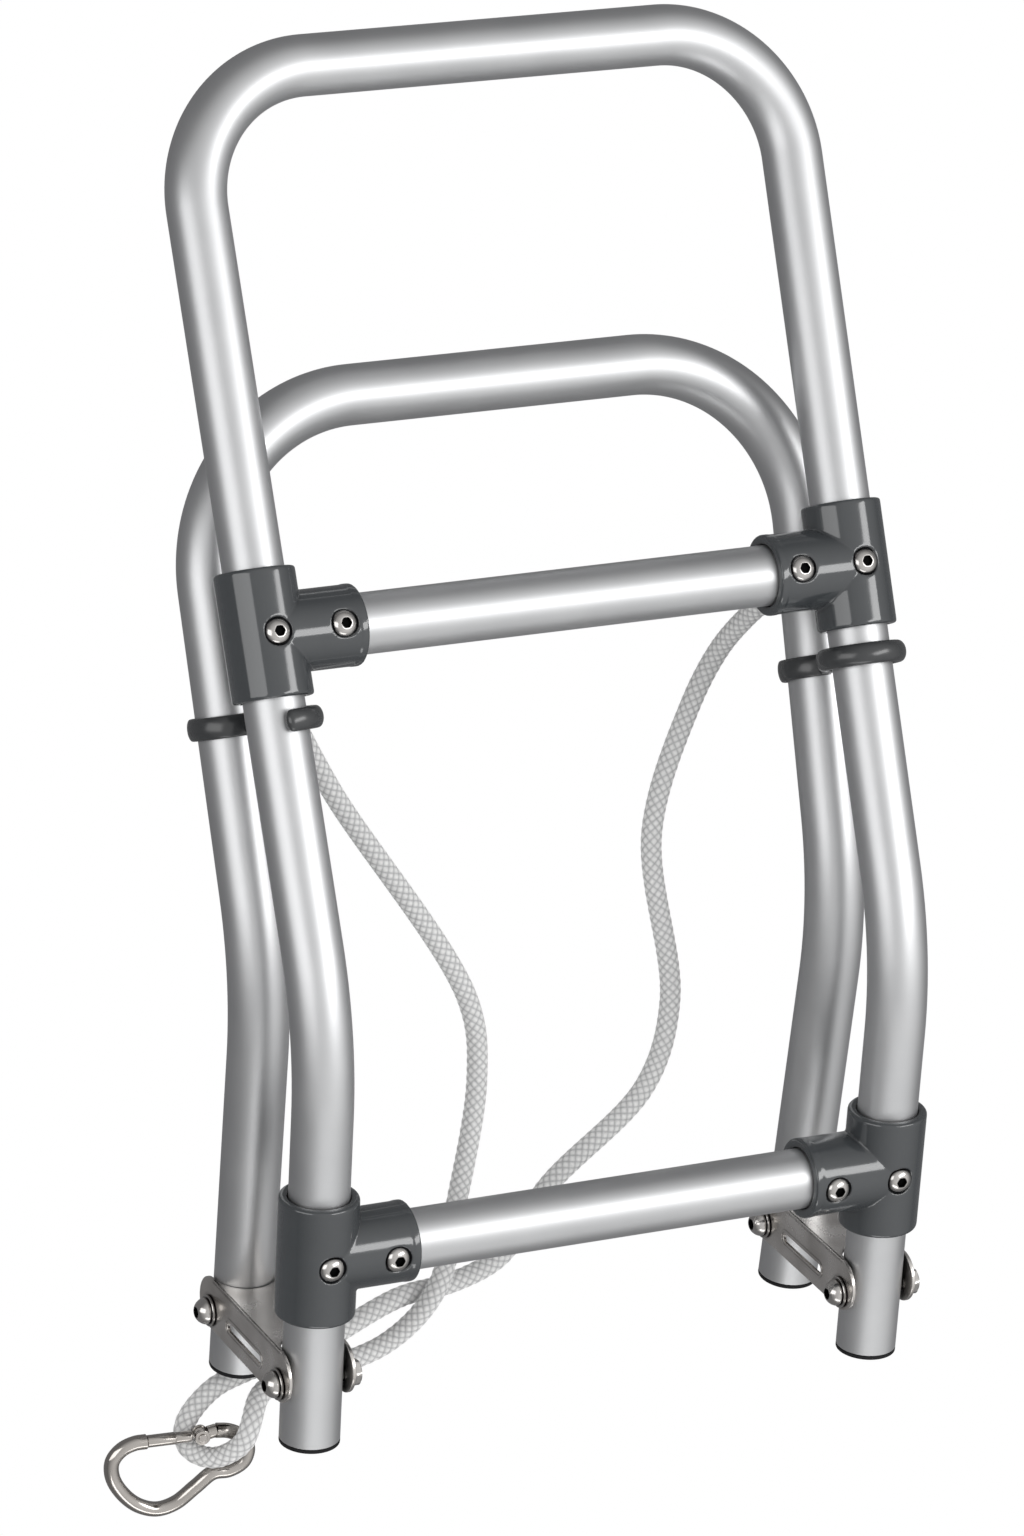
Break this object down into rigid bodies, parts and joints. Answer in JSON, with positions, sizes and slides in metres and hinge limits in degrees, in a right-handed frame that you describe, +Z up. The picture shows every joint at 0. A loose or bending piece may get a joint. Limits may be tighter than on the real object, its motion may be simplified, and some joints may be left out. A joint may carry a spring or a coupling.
{
  "type": "folding boarding ladder",
  "caption": "Compact folding boat boarding ladder of bent aluminium tube, with plastic T joints, steel hinge links, dark spring clips and a braided rope with a sprung hook.",
  "frame": {"origin": "ground level under the middle of the folded ladder, which lies on its back", "axes": "+Z up, +Y from the hinge end towards the rounded arches, +X along the rungs"},
  "size_m": [0.3365, 0.6083, 0.1258],
  "materials": {
    "tube_aluminium": "satin anodised",
    "tee_plastic": "glossy moulded, dark slate grey",
    "cap_plastic": "matt black",
    "clip_plastic": "satin, near black",
    "link_steel": "polished sheet",
    "fastener_steel": "polished",
    "hook_steel": "polished round wire",
    "rope": "braided white rope"
  },
  "bodies": {
    "rear_frame": {"end_cap_rear_left": "cap_plastic", "end_cap_rear_right": "cap_plastic", "rear_frame_tube": "tube_aluminium", "rope_knot_left": "rope", "rope_knot_right": "rope", "rope_left_strand": "rope", "rope_right_strand": "rope"},
    "links": {"head_washer_front_left": "fastener_steel", "head_washer_front_right": "fastener_steel", "head_washer_rear_left": "fastener_steel", "head_washer_rear_right": "fastener_steel", "hinge_bolt_front_left": "fastener_steel", "hinge_bolt_front_right": "fastener_steel", "hinge_bolt_rear_left": "fastener_steel", "hinge_bolt_rear_right": "fastener_steel", "hinge_link_left": "link_steel", "hinge_link_right": "link_steel", "hinge_nut_front_left": "fastener_steel", "hinge_nut_front_right": "fastener_steel", "hinge_nut_rear_left": "fastener_steel", "hinge_nut_rear_right": "fastener_steel", "nut_washer_front_left": "fastener_steel", "nut_washer_front_right": "fastener_steel", "nut_washer_rear_left": "fastener_steel", "nut_washer_rear_right": "fastener_steel", "rope_loop": "rope", "hook_body": "hook_steel", "hook_rivet": "hook_steel"},
    "front_frame": {"bolt_lower_left_leg": "fastener_steel", "bolt_lower_left_rung": "fastener_steel", "bolt_lower_right_leg": "fastener_steel", "bolt_lower_right_rung": "fastener_steel", "bolt_upper_left_leg": "fastener_steel", "bolt_upper_left_rung": "fastener_steel", "bolt_upper_right_leg": "fastener_steel", "bolt_upper_right_rung": "fastener_steel", "end_cap_front_left": "cap_plastic", "end_cap_front_right": "cap_plastic", "front_frame_tube": "tube_aluminium", "lower_rung": "tube_aluminium", "nut_lower_left_leg": "fastener_steel", "nut_lower_left_rung": "fastener_steel", "nut_lower_right_leg": "fastener_steel", "nut_lower_right_rung": "fastener_steel", "nut_upper_left_leg": "fastener_steel", "nut_upper_left_rung": "fastener_steel", "nut_upper_right_leg": "fastener_steel", "nut_upper_right_rung": "fastener_steel", "tee_lower_left": "tee_plastic", "tee_lower_right": "tee_plastic", "tee_upper_left": "tee_plastic", "tee_upper_right": "tee_plastic", "upper_rung": "tube_aluminium"},
    "clip_left": {"clip_left": "clip_plastic"},
    "clip_right": {"clip_right": "clip_plastic"},
    "hook_gate": {"hook_gate": "hook_steel"}
  },
  "joints": [
    {"name": "link_fold", "type": "hinge", "parent": "rear_frame", "child": "links", "pos_m": [0, -0.23793, 0.01935], "axis": [1, 0, 0], "range_deg": [0, 93]},
    {"name": "front_fold", "type": "hinge", "parent": "links", "child": "front_frame", "pos_m": [0, -0.25159, 0.08749], "axis": [1, 0, 0], "range_deg": [0, 90]},
    {"name": "clip_left_swing", "type": "hinge", "parent": "rear_frame", "child": "clip_left", "pos_m": [-0.13332, 0.00949, 0.03845], "axis": [-0.0208, 0.9787, -0.2042], "range_deg": [0, 45]},
    {"name": "clip_right_swing", "type": "hinge", "parent": "front_frame", "child": "clip_right", "pos_m": [0.13087, 0.01611, 0.08387], "axis": [0.0111, 0.9623, -0.2717], "range_deg": [0, 45]},
    {"name": "hook_gate_swing", "type": "hinge", "parent": "links", "child": "hook_gate", "pos_m": [-0.14623, -0.29226, 0.01336], "axis": [-0.1246, -0.1977, 0.9723], "range_deg": [0, 25], "stiffness_Nm_per_rad": 0.05, "springref_deg": -20.05}
  ]
}
